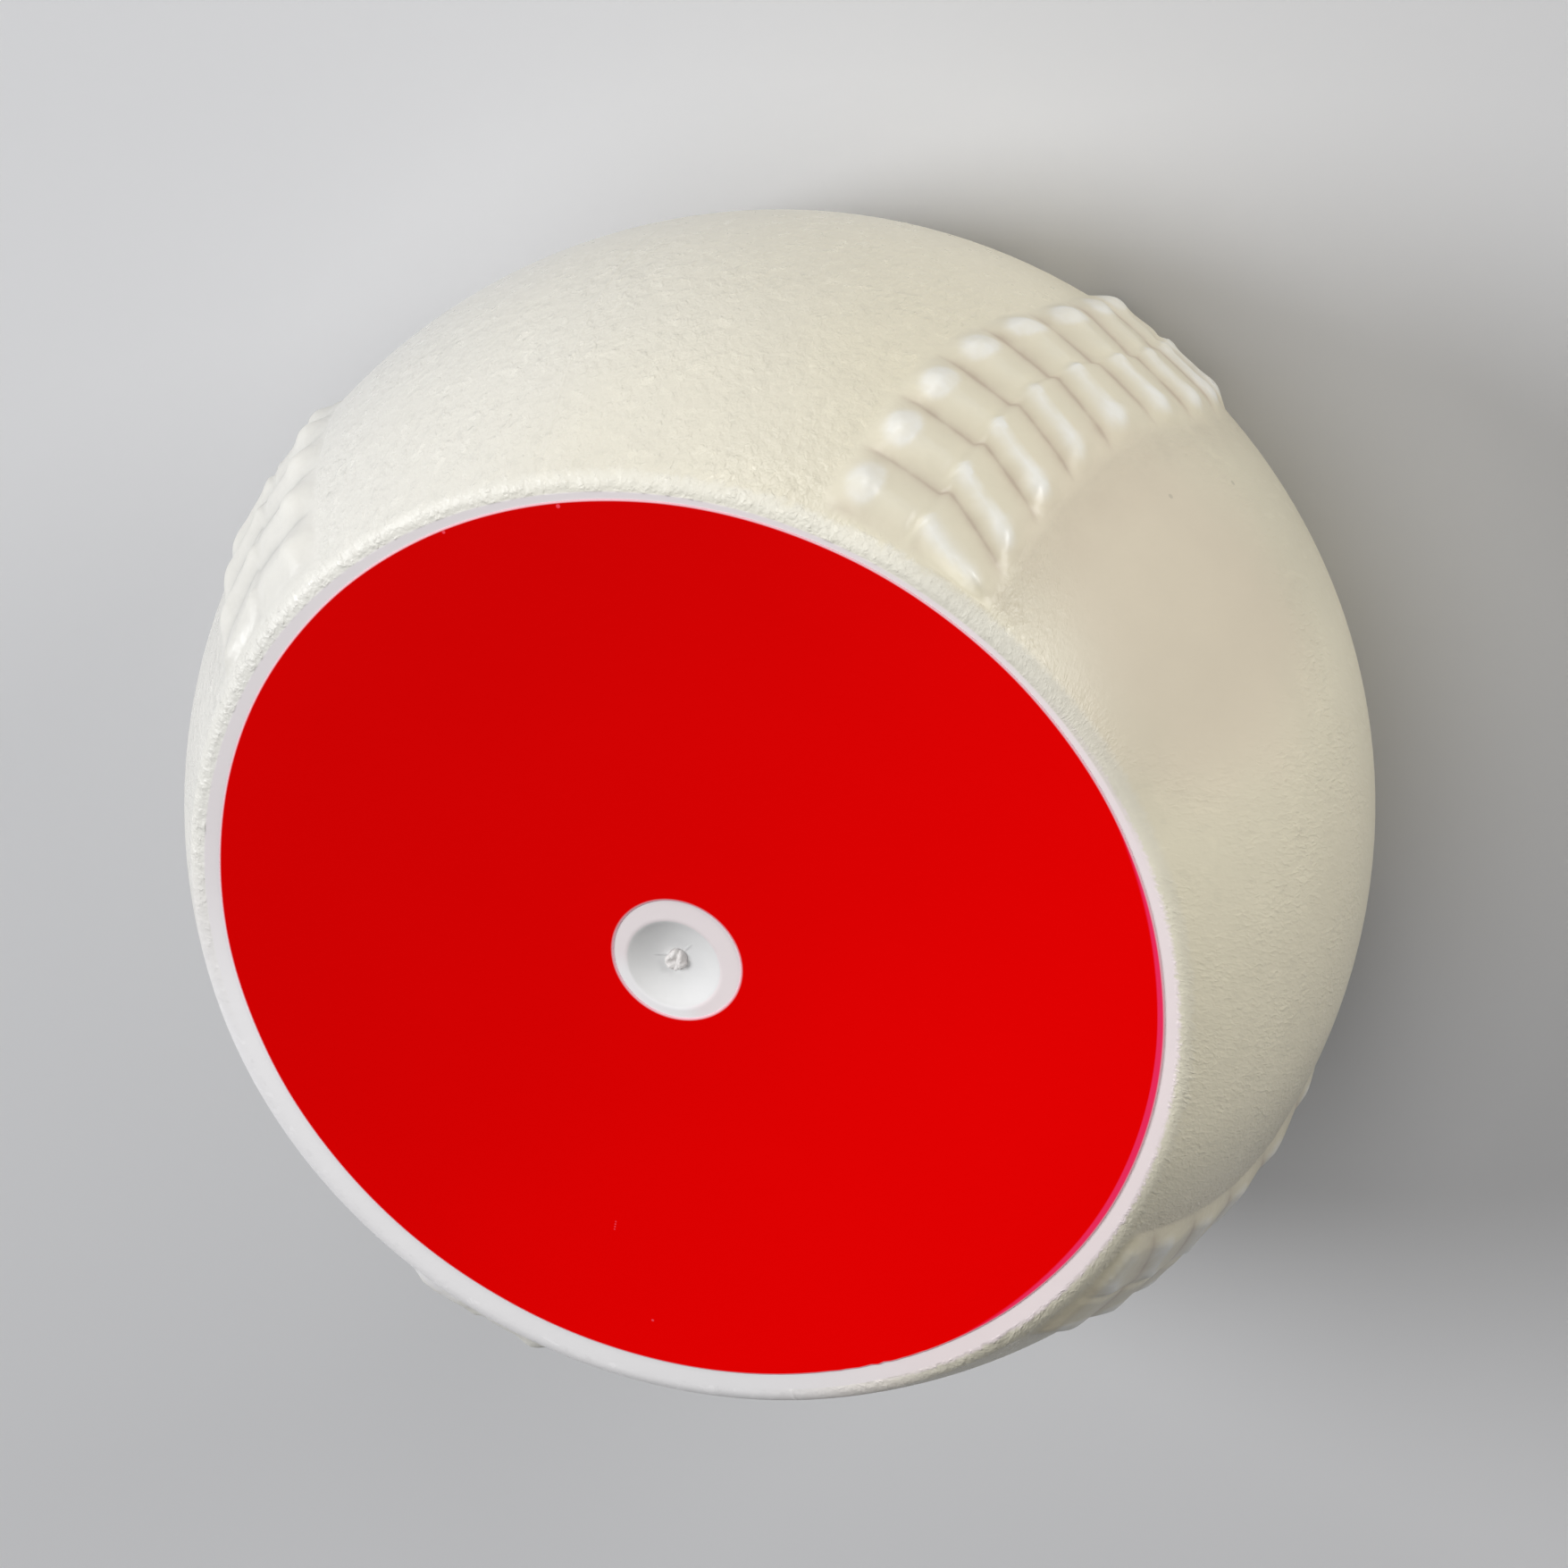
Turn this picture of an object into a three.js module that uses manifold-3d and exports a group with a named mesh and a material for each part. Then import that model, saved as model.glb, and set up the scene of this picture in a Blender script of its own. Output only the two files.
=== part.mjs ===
// Flat-sided training baseball, in millimetres with +Z up.
// A moulded core is held inside an overmoulded cover with four raised seam crossings, and a
// round film label is stuck on each flat face. The ball lies on its rear label, with the
// middle of that label's underside at the origin and the ball's axis along +Z.

import * as THREE from 'three';
import { mergeVertices } from 'three/addons/utils/BufferGeometryUtils.js';
import Module from 'manifold-3d';

const wasm = await Module();
wasm.setup();

// Ball
const ballDiameter = 73.0;
const faceToFace = 41.0; // across the cover's two flat faces
const edgeRound = 1.0; // radius where the round side turns into a flat face

// Cover walls over the core
const bandWall = 8.0;
const faceWall = 7.0;

// Dimple in the middle of each flat face
const dimpleDiameter = 5.7;
const dimpleDepth = 1.0;

// Seams, where they cross the round side
const seamWidth = 11.6;
const seamHeight = 0.6;
const seamSwing = 3.3; // how far a seam moves sideways from the middle of the side
const seamBend = 8.0; // height over which it makes most of that move
const seamEndGap = 0.2; // plain strip between the last stitches and the edge rounding
const grooveWidth = 1.8; // groove between the two rows of stitches
const grooveDepth = 0.22;

// Stitches of a seam
const stitchPitch = 4.2;
const stitchRamp = 2.2; // length of the sloping outer end
const stitchCrease = 0.36; // depth of the crease between neighbours
const stitchSkew = 0.1; // rise of a stitch for each millimetre across the seam
const stitchVee = 0.35; // how far the middle of a stitch lies below its two ends

// Core
const bossBase = 8.0; // diameter where a boss leaves the core's flat end
const bossTip = 1.6; // diameter where it breaks through the dimple's floor
const bossProud = 0.4; // how far its torn tip stands above that floor
const keyWidth = 8.0; // groove round the core's waist that locks the cover to it
const keyDepth = 2.0;
const bondGap = 0.3; // between the core's round surfaces and the cover

// Labels
const labelThickness = 0.2;
const labelMargin = 1.6; // from the sharp edge of the flat face to the label
const labelHoleMargin = 1.07; // from the rim of the dimple to the label's hole
const labelShift = 0.45; // the front label was stuck on this far off centre, towards -Y

// Smoothness
const roundSteps = 40;
const labelSteps = 48;
const arcSteps = 6;
const dimpleSteps = 3;
const edgeSteps = 3;
const plainSteps = 8; // columns between one seam and the next

const ballRadius = ballDiameter / 2;
const halfWidth = faceToFace / 2;
const faceRadius = Math.sqrt(ballRadius ** 2 - halfWidth ** 2);
const dimpleRadius = dimpleDiameter / 2;
const dimpleFloor = halfWidth - dimpleDepth;
const seamHalf = seamWidth / 2;
const seamCrossings = 4;

// Edge rounding: the centre of its arc, and the latitude where it meets the ball
const edgeRing = Math.sqrt((ballRadius - edgeRound) ** 2 - (halfWidth - edgeRound) ** 2);
const edgeLatitude = Math.asin((halfWidth - edgeRound) / (ballRadius - edgeRound));

function toSolid(geometry) {
  const bare = geometry.clone();
  bare.deleteAttribute('normal');
  bare.deleteAttribute('uv');
  const merged = mergeVertices(bare, 1e-5);
  const mesh = new wasm.Mesh({
    numProp: 3,
    vertProperties: new Float32Array(merged.attributes.position.array),
    triVerts: new Uint32Array(merged.index.array),
  });
  return new wasm.Manifold(mesh);
}

function toGeometry(solid) {
  const mesh = solid.getMesh();
  const geometry = new THREE.BufferGeometry();
  geometry.setAttribute('position', new THREE.BufferAttribute(mesh.vertProperties, 3));
  geometry.setIndex(new THREE.BufferAttribute(mesh.triVerts, 1));
  geometry.computeVertexNormals();
  return geometry;
}

// Profile of the core from its lower tip to its upper tip, or, with a gap, of the room for it
function coreProfile(gap, tipHeight) {
  const radius = ballRadius - bandWall + gap;
  const flat = halfWidth - faceWall;
  const keyHalf = keyWidth / 2 - gap;
  const keyRadius = ballRadius - bandWall - keyDepth + gap;
  const flatLatitude = Math.asin(flat / radius);
  const keyLatitude = Math.asin(keyHalf / radius);
  const upper = [new THREE.Vector2(keyRadius, keyHalf)];
  for (let step = 0; step <= arcSteps; step++) {
    const latitude = THREE.MathUtils.lerp(keyLatitude, flatLatitude, step / arcSteps);
    upper.push(new THREE.Vector2(radius * Math.cos(latitude), radius * Math.sin(latitude)));
  }
  upper.push(new THREE.Vector2(bossBase / 2 + gap, flat));
  upper.push(new THREE.Vector2(bossTip / 2 + gap, dimpleFloor));
  upper.push(new THREE.Vector2(bossTip / 2 + gap, tipHeight));
  upper.push(new THREE.Vector2(0, tipHeight));
  const lower = upper.map((point) => new THREE.Vector2(point.x, -point.y)).reverse();
  return [...lower, ...upper];
}

function turned(profile) {
  return new THREE.LatheGeometry(profile, roundSteps).rotateX(Math.PI / 2);
}

// Height of a stitch along its length, as a share of seamHeight, at a distance from the seam line
function stitchProfile(distance) {
  const across = Math.abs(distance);
  const ramp = Math.min(1, (seamHalf - across) / stitchRamp);
  const groove = Math.max(0, 1 - across / (grooveWidth / 2));
  return Math.sin((ramp * Math.PI) / 2) - (groove * grooveDepth) / seamHeight;
}

// Rows of the round side from its upper to its lower edge, each with its latitude, the share of a
// stitch's height that it carries, and how far it follows the slant of the stitches
function bandRows() {
  const bandLength = 2 * edgeLatitude * ballRadius;
  const stitchCount = Math.floor((bandLength - 2 * seamEndGap) / stitchPitch);
  const patternHalf = (stitchCount * stitchPitch) / 2;
  const creaseShare = 1 - stitchCrease / seamHeight;
  const rowPlaces = [0, 0.2, 0.5, 0.8]; // within one pitch, from one crease to the next
  const rows = [{ latitude: edgeLatitude, crown: 0, slant: 0 }];
  for (let stitch = 0; stitch <= stitchCount; stitch++) {
    const isEnd = stitch === 0 || stitch === stitchCount;
    for (const place of stitch === stitchCount ? [0] : rowPlaces) {
      const along = patternHalf - (stitch + place) * stitchPitch;
      const round = Math.sqrt(1 - (2 * place - 1) ** 2);
      const crease = isEnd && place === 0 ? 0 : creaseShare;
      rows.push({
        latitude: along / ballRadius,
        crown: crease + (1 - crease) * round,
        slant: Math.min(1, (patternHalf - Math.abs(along)) / (stitchPitch / 2)),
      });
    }
  }
  rows.push({ latitude: -edgeLatitude, crown: 0, slant: 0 });
  return rows;
}

// Azimuth, latitude and radius of a point on a seam. Neighbouring seams mirror each other.
function seamPoint(row, seam, distance) {
  const side = seam % 2 === 0 ? -1 : 1;
  const height = ballRadius * Math.sin(row.latitude);
  const bend = Math.tanh(height / seamBend);
  const lean = Math.atan((side * seamSwing * (1 - bend ** 2)) / seamBend);
  const slope = Math.sin(lean) + side * stitchSkew;
  const vee = stitchVee * (1 - Math.abs(distance) / seamHalf);
  const across = (distance * Math.cos(lean)) / Math.cos(row.latitude);
  const seamAzimuth = (seam * 2 * Math.PI) / seamCrossings;
  return {
    azimuth: seamAzimuth + (side * seamSwing * bend + across) / ballRadius,
    latitude: row.latitude - (row.slant * (slope * distance + vee)) / ballRadius,
    radius: ballRadius + seamHeight * row.crown * stitchProfile(distance),
  };
}

// One row of points round the ball: across each seam, then over the plain stretch to the next
function bandRing(row) {
  const rampFoot = seamHalf - stitchRamp;
  const places = [grooveWidth / 2, rampFoot, (rampFoot + seamHalf) / 2, seamHalf];
  const distances = [...places.map((place) => -place).reverse(), 0, ...places];
  const ring = [];
  for (let seam = 0; seam < seamCrossings; seam++) {
    ring.push(...distances.map((distance) => seamPoint(row, seam, distance)));
    const start = ring.at(-1);
    const end = seamPoint(row, seam + 1, -seamHalf);
    for (let step = 1; step < plainSteps; step++) {
      ring.push({
        azimuth: THREE.MathUtils.lerp(start.azimuth, end.azimuth, step / plainSteps),
        latitude: THREE.MathUtils.lerp(start.latitude, end.latitude, step / plainSteps),
        radius: ballRadius,
      });
    }
  }
  return ring;
}

// Radius and height of the rings of a flat face, from inside the dimple out over the edge rounding
function faceProfile() {
  const bowlRadius = (dimpleRadius ** 2 + dimpleDepth ** 2) / (2 * dimpleDepth);
  const rings = [];
  for (let step = 1; step <= dimpleSteps; step++) {
    const radius = (dimpleRadius * step) / dimpleSteps;
    const rise = bowlRadius - Math.sqrt(bowlRadius ** 2 - radius ** 2);
    rings.push({ radius, height: dimpleFloor + rise });
  }
  for (let step = 0; step < edgeSteps; step++) {
    const angle = THREE.MathUtils.lerp(Math.PI / 2, edgeLatitude, step / edgeSteps);
    rings.push({
      radius: edgeRing + edgeRound * Math.cos(angle),
      height: halfWidth - edgeRound + edgeRound * Math.sin(angle),
    });
  }
  return rings;
}

// The cover's whole outside as one closed surface, from the upper dimple to the lower one
function coverOutside() {
  const band = bandRows().map(bandRing);
  const columns = band[0].length;
  const upperFace = faceProfile();
  const lowerFace = upperFace.map(({ radius, height }) => ({ radius, height: -height })).reverse();
  const points = [new THREE.Vector3(0, 0, dimpleFloor)];
  const addFace = (rings, ring) => {
    for (const { radius, height } of rings) {
      for (const { azimuth } of ring) {
        points.push(new THREE.Vector3(radius * Math.cos(azimuth), radius * Math.sin(azimuth), height));
      }
    }
  };
  addFace(upperFace, band[0]);
  for (const { azimuth, latitude, radius } of band.flat()) {
    const level = radius * Math.cos(latitude);
    const height = radius * Math.sin(latitude);
    points.push(new THREE.Vector3(level * Math.cos(azimuth), level * Math.sin(azimuth), height));
  }
  addFace(lowerFace, band.at(-1));
  points.push(new THREE.Vector3(0, 0, -dimpleFloor));

  const last = points.length - 1;
  const rowCount = (last - 1) / columns;
  const triangles = [];
  for (let column = 0; column < columns; column++) {
    const next = (column + 1) % columns;
    const at = (row, place) => 1 + row * columns + place;
    triangles.push(0, at(0, column), at(0, next));
    for (let row = 0; row < rowCount - 1; row++) {
      triangles.push(at(row, column), at(row + 1, column), at(row + 1, next));
      triangles.push(at(row, column), at(row + 1, next), at(row, next));
    }
    triangles.push(last, at(rowCount - 1, next), at(rowCount - 1, column));
  }
  const geometry = new THREE.BufferGeometry().setFromPoints(points);
  geometry.setIndex(triangles);
  return geometry;
}

function makeCore() {
  const profile = coreProfile(0, dimpleFloor + bossProud);
  const material = new THREE.MeshStandardMaterial({ color: 0xd9d6cc, roughness: 0.7, metalness: 0 });
  const core = new THREE.Mesh(turned(profile), material);
  core.name = 'core';
  return core;
}

function makeCover() {
  const room = turned(coreProfile(bondGap, halfWidth + bossProud));
  const shell = toSolid(coverOutside()).subtract(toSolid(room));
  const material = new THREE.MeshStandardMaterial({ color: 0xddd8c6, roughness: 0.55, metalness: 0 });
  const cover = new THREE.Mesh(toGeometry(shell), material);
  cover.name = 'cover';
  return cover;
}

function makeLabel(name) {
  const outline = new THREE.Shape();
  outline.absarc(0, 0, faceRadius - labelMargin, 0, 2 * Math.PI, false);
  const hole = new THREE.Path();
  hole.absarc(0, 0, dimpleRadius + labelHoleMargin, 0, 2 * Math.PI, true);
  outline.holes.push(hole);
  const geometry = new THREE.ExtrudeGeometry(outline, {
    depth: labelThickness,
    bevelEnabled: false,
    curveSegments: labelSteps,
  });
  const material = new THREE.MeshStandardMaterial({ color: 0xd00000, roughness: 0.4, metalness: 0 });
  const label = new THREE.Mesh(geometry, material);
  label.name = name;
  return label;
}

const frontLabel = makeLabel('front_label');
frontLabel.position.set(0, -labelShift, halfWidth);
const rearLabel = makeLabel('rear_label');
rearLabel.position.z = -halfWidth - labelThickness;

const ball = new THREE.Group();
ball.add(makeCore(), makeCover(), frontLabel, rearLabel);
ball.position.z = halfWidth + labelThickness;

export default ball;
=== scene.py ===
import math
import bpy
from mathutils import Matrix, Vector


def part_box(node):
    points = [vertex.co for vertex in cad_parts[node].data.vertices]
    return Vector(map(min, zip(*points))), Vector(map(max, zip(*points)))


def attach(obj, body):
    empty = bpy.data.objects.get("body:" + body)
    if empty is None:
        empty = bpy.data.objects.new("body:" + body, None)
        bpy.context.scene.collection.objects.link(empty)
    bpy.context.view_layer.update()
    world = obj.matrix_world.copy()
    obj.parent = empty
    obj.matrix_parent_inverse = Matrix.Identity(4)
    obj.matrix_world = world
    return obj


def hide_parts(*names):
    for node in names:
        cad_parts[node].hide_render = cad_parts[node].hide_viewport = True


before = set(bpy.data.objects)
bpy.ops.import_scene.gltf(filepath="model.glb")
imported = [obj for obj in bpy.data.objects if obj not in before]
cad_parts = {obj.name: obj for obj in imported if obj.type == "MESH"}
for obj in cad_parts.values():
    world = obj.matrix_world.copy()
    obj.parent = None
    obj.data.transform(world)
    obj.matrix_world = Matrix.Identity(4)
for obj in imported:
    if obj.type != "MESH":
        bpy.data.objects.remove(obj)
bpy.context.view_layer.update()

from types import SimpleNamespace

import bmesh
import bpy
from mathutils import Matrix, Vector, noise

mm = 0.001
ballCentre = (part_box("cover")[0].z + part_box("cover")[1].z) / 2
collection = bpy.context.scene.collection
print("frame loaded:", ", ".join(sorted(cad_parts)))


def addObject(name, data):
    made = bpy.data.objects.new(name, data)
    collection.objects.link(made)
    return made


# Photo view: the ball lies on its rear face and the camera looks down at it, rolled over
photoCamera = {
    "position": (3.948, -132.072, 205.386),  # mm from the ball's middle
    "right": (-0.81843, -0.49089, -0.2987),
    "up": (0.57446, -0.68630, -0.4462),
    "lens": 90.465,
    "sensor": 36.0,
    "clipStart": 0.01,
}


def addCamera(view):
    data = bpy.data.cameras.new("photoCamera")
    data.lens = view["lens"]
    data.sensor_width = view["sensor"]
    data.clip_start = view["clipStart"]
    camera = addObject("photoCamera", data)
    right = Vector(view["right"]).normalized()
    back = right.cross(Vector(view["up"])).normalized()
    turn = Matrix((right, back.cross(right), back)).transposed().to_4x4()
    place = Vector(view["position"]) * mm + Vector((0, 0, ballCentre))
    camera.matrix_world = Matrix.Translation(place) @ turn
    bpy.context.scene.camera = camera


addCamera(photoCamera)
print("camera placed")


# Number fields of a node tree, written as plain arithmetic
class Field:
    def __init__(self, tree, socket):
        self.tree = tree
        self.socket = socket

    def op(self, operation, *values):
        return mathNode(self.tree, operation, self, *values)

    def __add__(self, other):
        return self.op("ADD", other)

    def __sub__(self, other):
        return self.op("SUBTRACT", other)

    def __mul__(self, other):
        return self.op("MULTIPLY", other)

    def __truediv__(self, other):
        return self.op("DIVIDE", other)

    def __pow__(self, other):
        return self.op("POWER", other)

    def __neg__(self):
        return self.op("MULTIPLY", -1.0)

    def __rsub__(self, other):
        return mathNode(self.tree, "SUBTRACT", other, self)

    def __rtruediv__(self, other):
        return mathNode(self.tree, "DIVIDE", other, self)

    __radd__ = __add__
    __rmul__ = __mul__


def feed(tree, slot, value):
    source = value.socket if isinstance(value, Field) else value
    if isinstance(source, bpy.types.NodeSocket):
        tree.links.new(source, slot)
    else:
        slot.default_value = source


def feedAll(tree, node, inputs):
    for key, value in inputs.items():
        feed(tree, node.inputs[key.replace("_", " ")], value)


def mathNode(tree, operation, *values):
    node = tree.nodes.new("ShaderNodeMath")
    node.operation = operation
    for slot, value in zip(node.inputs, values):
        feed(tree, slot, value)
    return Field(tree, node.outputs[0])


def addNode(tree, kind, settings=None, **inputs):
    node = tree.nodes.new(kind)
    for key, value in (settings or {}).items():
        setattr(node, key, value)
    feedAll(tree, node, inputs)
    return node


def nodeField(tree, kind, settings=None, **inputs):
    return Field(tree, addNode(tree, kind, settings, **inputs).outputs[0])


def axesOf(tree, vector):
    split = addNode(tree, "ShaderNodeSeparateXYZ", Vector=vector)
    return [Field(tree, output) for output in split.outputs]


def smooth(field):
    clipped = field.op("MINIMUM", 1.0).op("MAXIMUM", 0.0)
    return clipped * clipped * (3.0 - 2.0 * clipped)


# A mask that is 0 at the first limit and 1 at the second, which may be the lower one
def ramp(field, limits):
    start, end = limits
    return smooth((field - start) / (end - start))


def hump(field, spread):
    return (-((field / spread) ** 2.0)).op("EXPONENT")


def lerp(start, end, share):
    return start + (end - start) * share


# Cover: the ball's side with its seams, the two flat faces and their dimples, all by one rule
coverSizes = {
    "Ball Radius": 36.5 * mm,
    "Half Width": 20.5 * mm,
    "Edge Round": 1.1 * mm,
    "Edge Change": 0.12 * mm,  # sharper on one side of the face than on the other
    "Edge Turn": math.radians(192),
    "Dimple Radius": 2.85 * mm,
    "Dimple Depth": 1.0 * mm,
    "Dimple Power": 2.3,  # 2 is a round bowl, more is a flatter floor
    "Rim Round": 0.06 * mm,
    "Gate Radius": 0.50 * mm,  # where the core's tip comes through
    "Seam Half": 5.9 * mm,
    "Seam Swing": 3.3 * mm,
    "Seam Bend": 8.0 * mm,
    "Stitch Count": 10.0,
    "Stitch Pitch": 4.2 * mm,
    "Stitch Skew": 0.29,
    "Row Fan": 0.19,  # one row turns slowly towards the end of the seam
    "Row Turn": 0.21,  # the other row is turned all along that half
    "Row Shift": 0.14,  # and lies a little further on, as a share of a stitch
    "Stitch Scatter": 0.10,
    "Stitch Wobble": 0.10,
    "Ground Height": 0.08 * mm,
    "Bar Height": 0.57 * mm,
    "Bar Ramp": 1.3 * mm,  # how fast a bar rises at its outer end
    "Crest Power": 1.1,  # 2 is a round crest, 1 a sharp one
    "Crest Left": 0.5,  # where the crest lies, as a share of a stitch
    "Crest Right": 0.37,
    "Knob Height": 0.30 * mm,  # full outer end of a stitch
    "Knob Place": 3.65 * mm,
    "Knob Rise": 1.25 * mm,
    "Knob Drop": 0.75 * mm,
    "Knob Width": 1.4 * mm,
    "Head Height": 0.16 * mm,  # small inner end beside the groove
    "Head Place": 0.25 * mm,
    "Head Length": 0.55 * mm,
    "Groove Place": 0.45 * mm,
    "Groove Depth": 0.14 * mm,
    "Groove Width": 0.36 * mm,
}
coverMesh = {
    "columns": 105,  # in a quarter of the ball
    "columnCrowding": 1.2,  # 1 is even columns, more crowds them in the middle of the seam
    "rowsPerStitch": 14,
    "rowCrowding": 0.5,  # 0 is even rows, more crowds them at the creases
    "edgeRings": 8,
    "faceRings": 28,
    "seamShare": 0.66,  # of the columns that lie across the seam
    "flatShare": 0.3,  # of the face rings that lie outside the dimple
    "flatEnd": 1.12,  # where those end, in dimple radii
    "weld": 0.001 * mm,
    "floorGuard": 1e-4,  # keeps a stitch's first row from counting as the one before
    "seed": 7.0,
}
stitchBlend = {
    "creaseDepths": (1.0, 1.0, 0.45, 1.0),  # one seam is worn flatter
    "lowerDepth": 0.5,  # and so is the lower half of each
    "upperHalf": (-9.0 * mm, -2.0 * mm),
    "rowChange": 0.6 * mm,  # width of the change from one row to the other
    "halfChange": 4.0,  # how quickly the slant changes at the middle of the seam
    "endRoom": (-2.0, 0.72),  # how far a slant may move a row, in distances to the seam's end
    "endChange": 0.1,  # these three are shares of a stitch
    "endFade": 0.22,
    "middleGuard": 0.01,  # so that the middle row belongs to one half
    "tipInset": 0.5 * mm,
    "tipChange": 0.35,
    "lumpFade": 0.8 * mm,
    "rightKnob": 0.4,  # height of the right row's knobs, against the left row's
    "waverLength": 1.1 * mm,
    "waverSteps": (3.7, 9.0),  # far enough apart for every bar and seam to differ
    "scatterStep": 40.0,
}
stitchShadeAndSheen = {
    "zone": (-0.6, 0.4),  # bar ramps from the tip
    "footPlace": 5.7 * mm,  # a soft shade along the outer end of the right row
    "footWidth": 0.8 * mm,
    "footShare": 0.3,
    "footEnd": 6.0,
    "creaseLine": (11.0, 0.85),  # power and share of the painted dark line between two bars
    "creaseShade": (2.0, 0.5),  # and of the shade beside it
    "sheenHeight": (0.2 * mm, 0.6 * mm),
    "crestEdge": 0.75,  # a painted sheen stripe runs along each crest
    "crestNarrow": (7.0, 2.2),  # narrow on most bars, broad on the bar at the rim
    "crestKnob": 0.6,  # and broader round a knob
    "leftShare": 0.2,  # fainter on the left row
    # the painted sheen also covers the knobs and the heads
    "knob": (0.2143, 0.5714),
    "head": (0.2, 0.7),
}


def groupSocket(tree, way, name, kind="Float", value=None):
    socket = tree.interface.new_socket(name, in_out=way, socket_type="NodeSocket" + kind)
    if value is not None:
        socket.default_value = value


def sphericalPoint(tree, level, height, azimuth):
    return nodeField(tree, "ShaderNodeCombineXYZ", X=level * azimuth.op("COSINE"),
                     Y=level * azimuth.op("SINE"), Z=height)


def quarterGrid(tree, mesh, rows):
    return addNode(tree, "GeometryNodeMeshGrid", Size_X=2.0, Size_Y=2.0,
                   Vertices_X=mesh["columns"], Vertices_Y=rows).outputs["Mesh"]


def movedTo(tree, geometry, point):
    return addNode(tree, "GeometryNodeSetPosition", Geometry=geometry, Position=point).outputs[0]


# Where a grid point lies: close columns over the seam, wide ones over the plain leather up to 45
# degrees, and rows that crowd together at the creases between stitches
def quarterPlace(tree, size, mesh):
    u, v = axesOf(tree, tree.nodes.new("GeometryNodeInputPosition").outputs[0])[:2]
    outward = u.op("ABSOLUTE")
    inside = (outward / mesh["seamShare"]).op("MINIMUM", 1.0)
    distance = (inside ** mesh["columnCrowding"]) * size["Seam Half"] * u.op("SIGN")
    beyond = ((outward - mesh["seamShare"]) / (1.0 - mesh["seamShare"])).op("MAXIMUM", 0.0)

    pitch = size["Stitch Pitch"]
    patternHalf = size["Stitch Count"] * pitch * 0.5
    step = (1.0 - v) * 0.5 * size["Stitch Count"]
    stitch = (step + mesh["floorGuard"]).op("FLOOR")
    share = step - stitch
    within = lerp(share, 0.5 - 0.5 * (share * math.pi).op("COSINE"), mesh["rowCrowding"])
    return SimpleNamespace(
        v=v, distance=distance, away=distance.op("ABSOLUTE"), beyond=beyond,
        quarterEnd=size["Turn"] + u.op("SIGN") * (math.pi / 4),
        pitch=pitch, patternHalf=patternHalf, along=patternHalf - pitch * (stitch + within),
    )


# The seam's line swings from one side to the other as it crosses the ball
def seamAzimuth(size, at, height, latitude):
    bend = (height / size["Seam Bend"]).op("TANH")
    line = size["Side"] * size["Seam Swing"] * bend
    lean = (size["Side"] * size["Seam Swing"] * (1.0 - bend * bend) / size["Seam Bend"]).op("ARCTANGENT")
    across = at.distance * lean.op("COSINE") / latitude.op("COSINE")
    return lerp(size["Turn"] + (line + across) / size["Ball Radius"], at.quarterEnd, at.beyond)


# Each row of stitches lies aslant, and less so where it comes to the end of the seam
def slantRows(tree, size, at, blend):
    side = size["Side"]
    at.onRight = smooth(0.5 - side * at.distance / blend["rowChange"])
    upward = at.along / at.patternHalf
    upperTurn = smooth(upward * blend["halfChange"]) * size["Row Turn"]
    lowerTurn = smooth(upward * -blend["halfChange"]) * size["Row Turn"]
    leftVee = upward.op("MAXIMUM", 0.0) * size["Row Fan"] - lowerTurn
    rightVee = upward.op("MINIMUM", 0.0) * size["Row Fan"] + upperTurn
    slant = lerp(leftVee, rightVee, at.onRight) * at.away - side * size["Stitch Skew"] * at.distance
    at.slant = slant - at.onRight * size["Row Shift"] * at.pitch

    room = at.patternHalf - at.along.op("ABSOLUTE")
    back, forth = (room * share for share in blend["endRoom"])
    half = (at.along + at.pitch * blend["middleGuard"]).op("SIGN")
    toEnd = mathNode(tree, "SMOOTH_MIN", at.slant * half, forth, at.pitch * blend["endChange"])
    toEnd = toEnd.op("MINIMUM", forth).op("MAXIMUM", back)
    at.slantedAlong = at.along + toEnd * half


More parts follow.
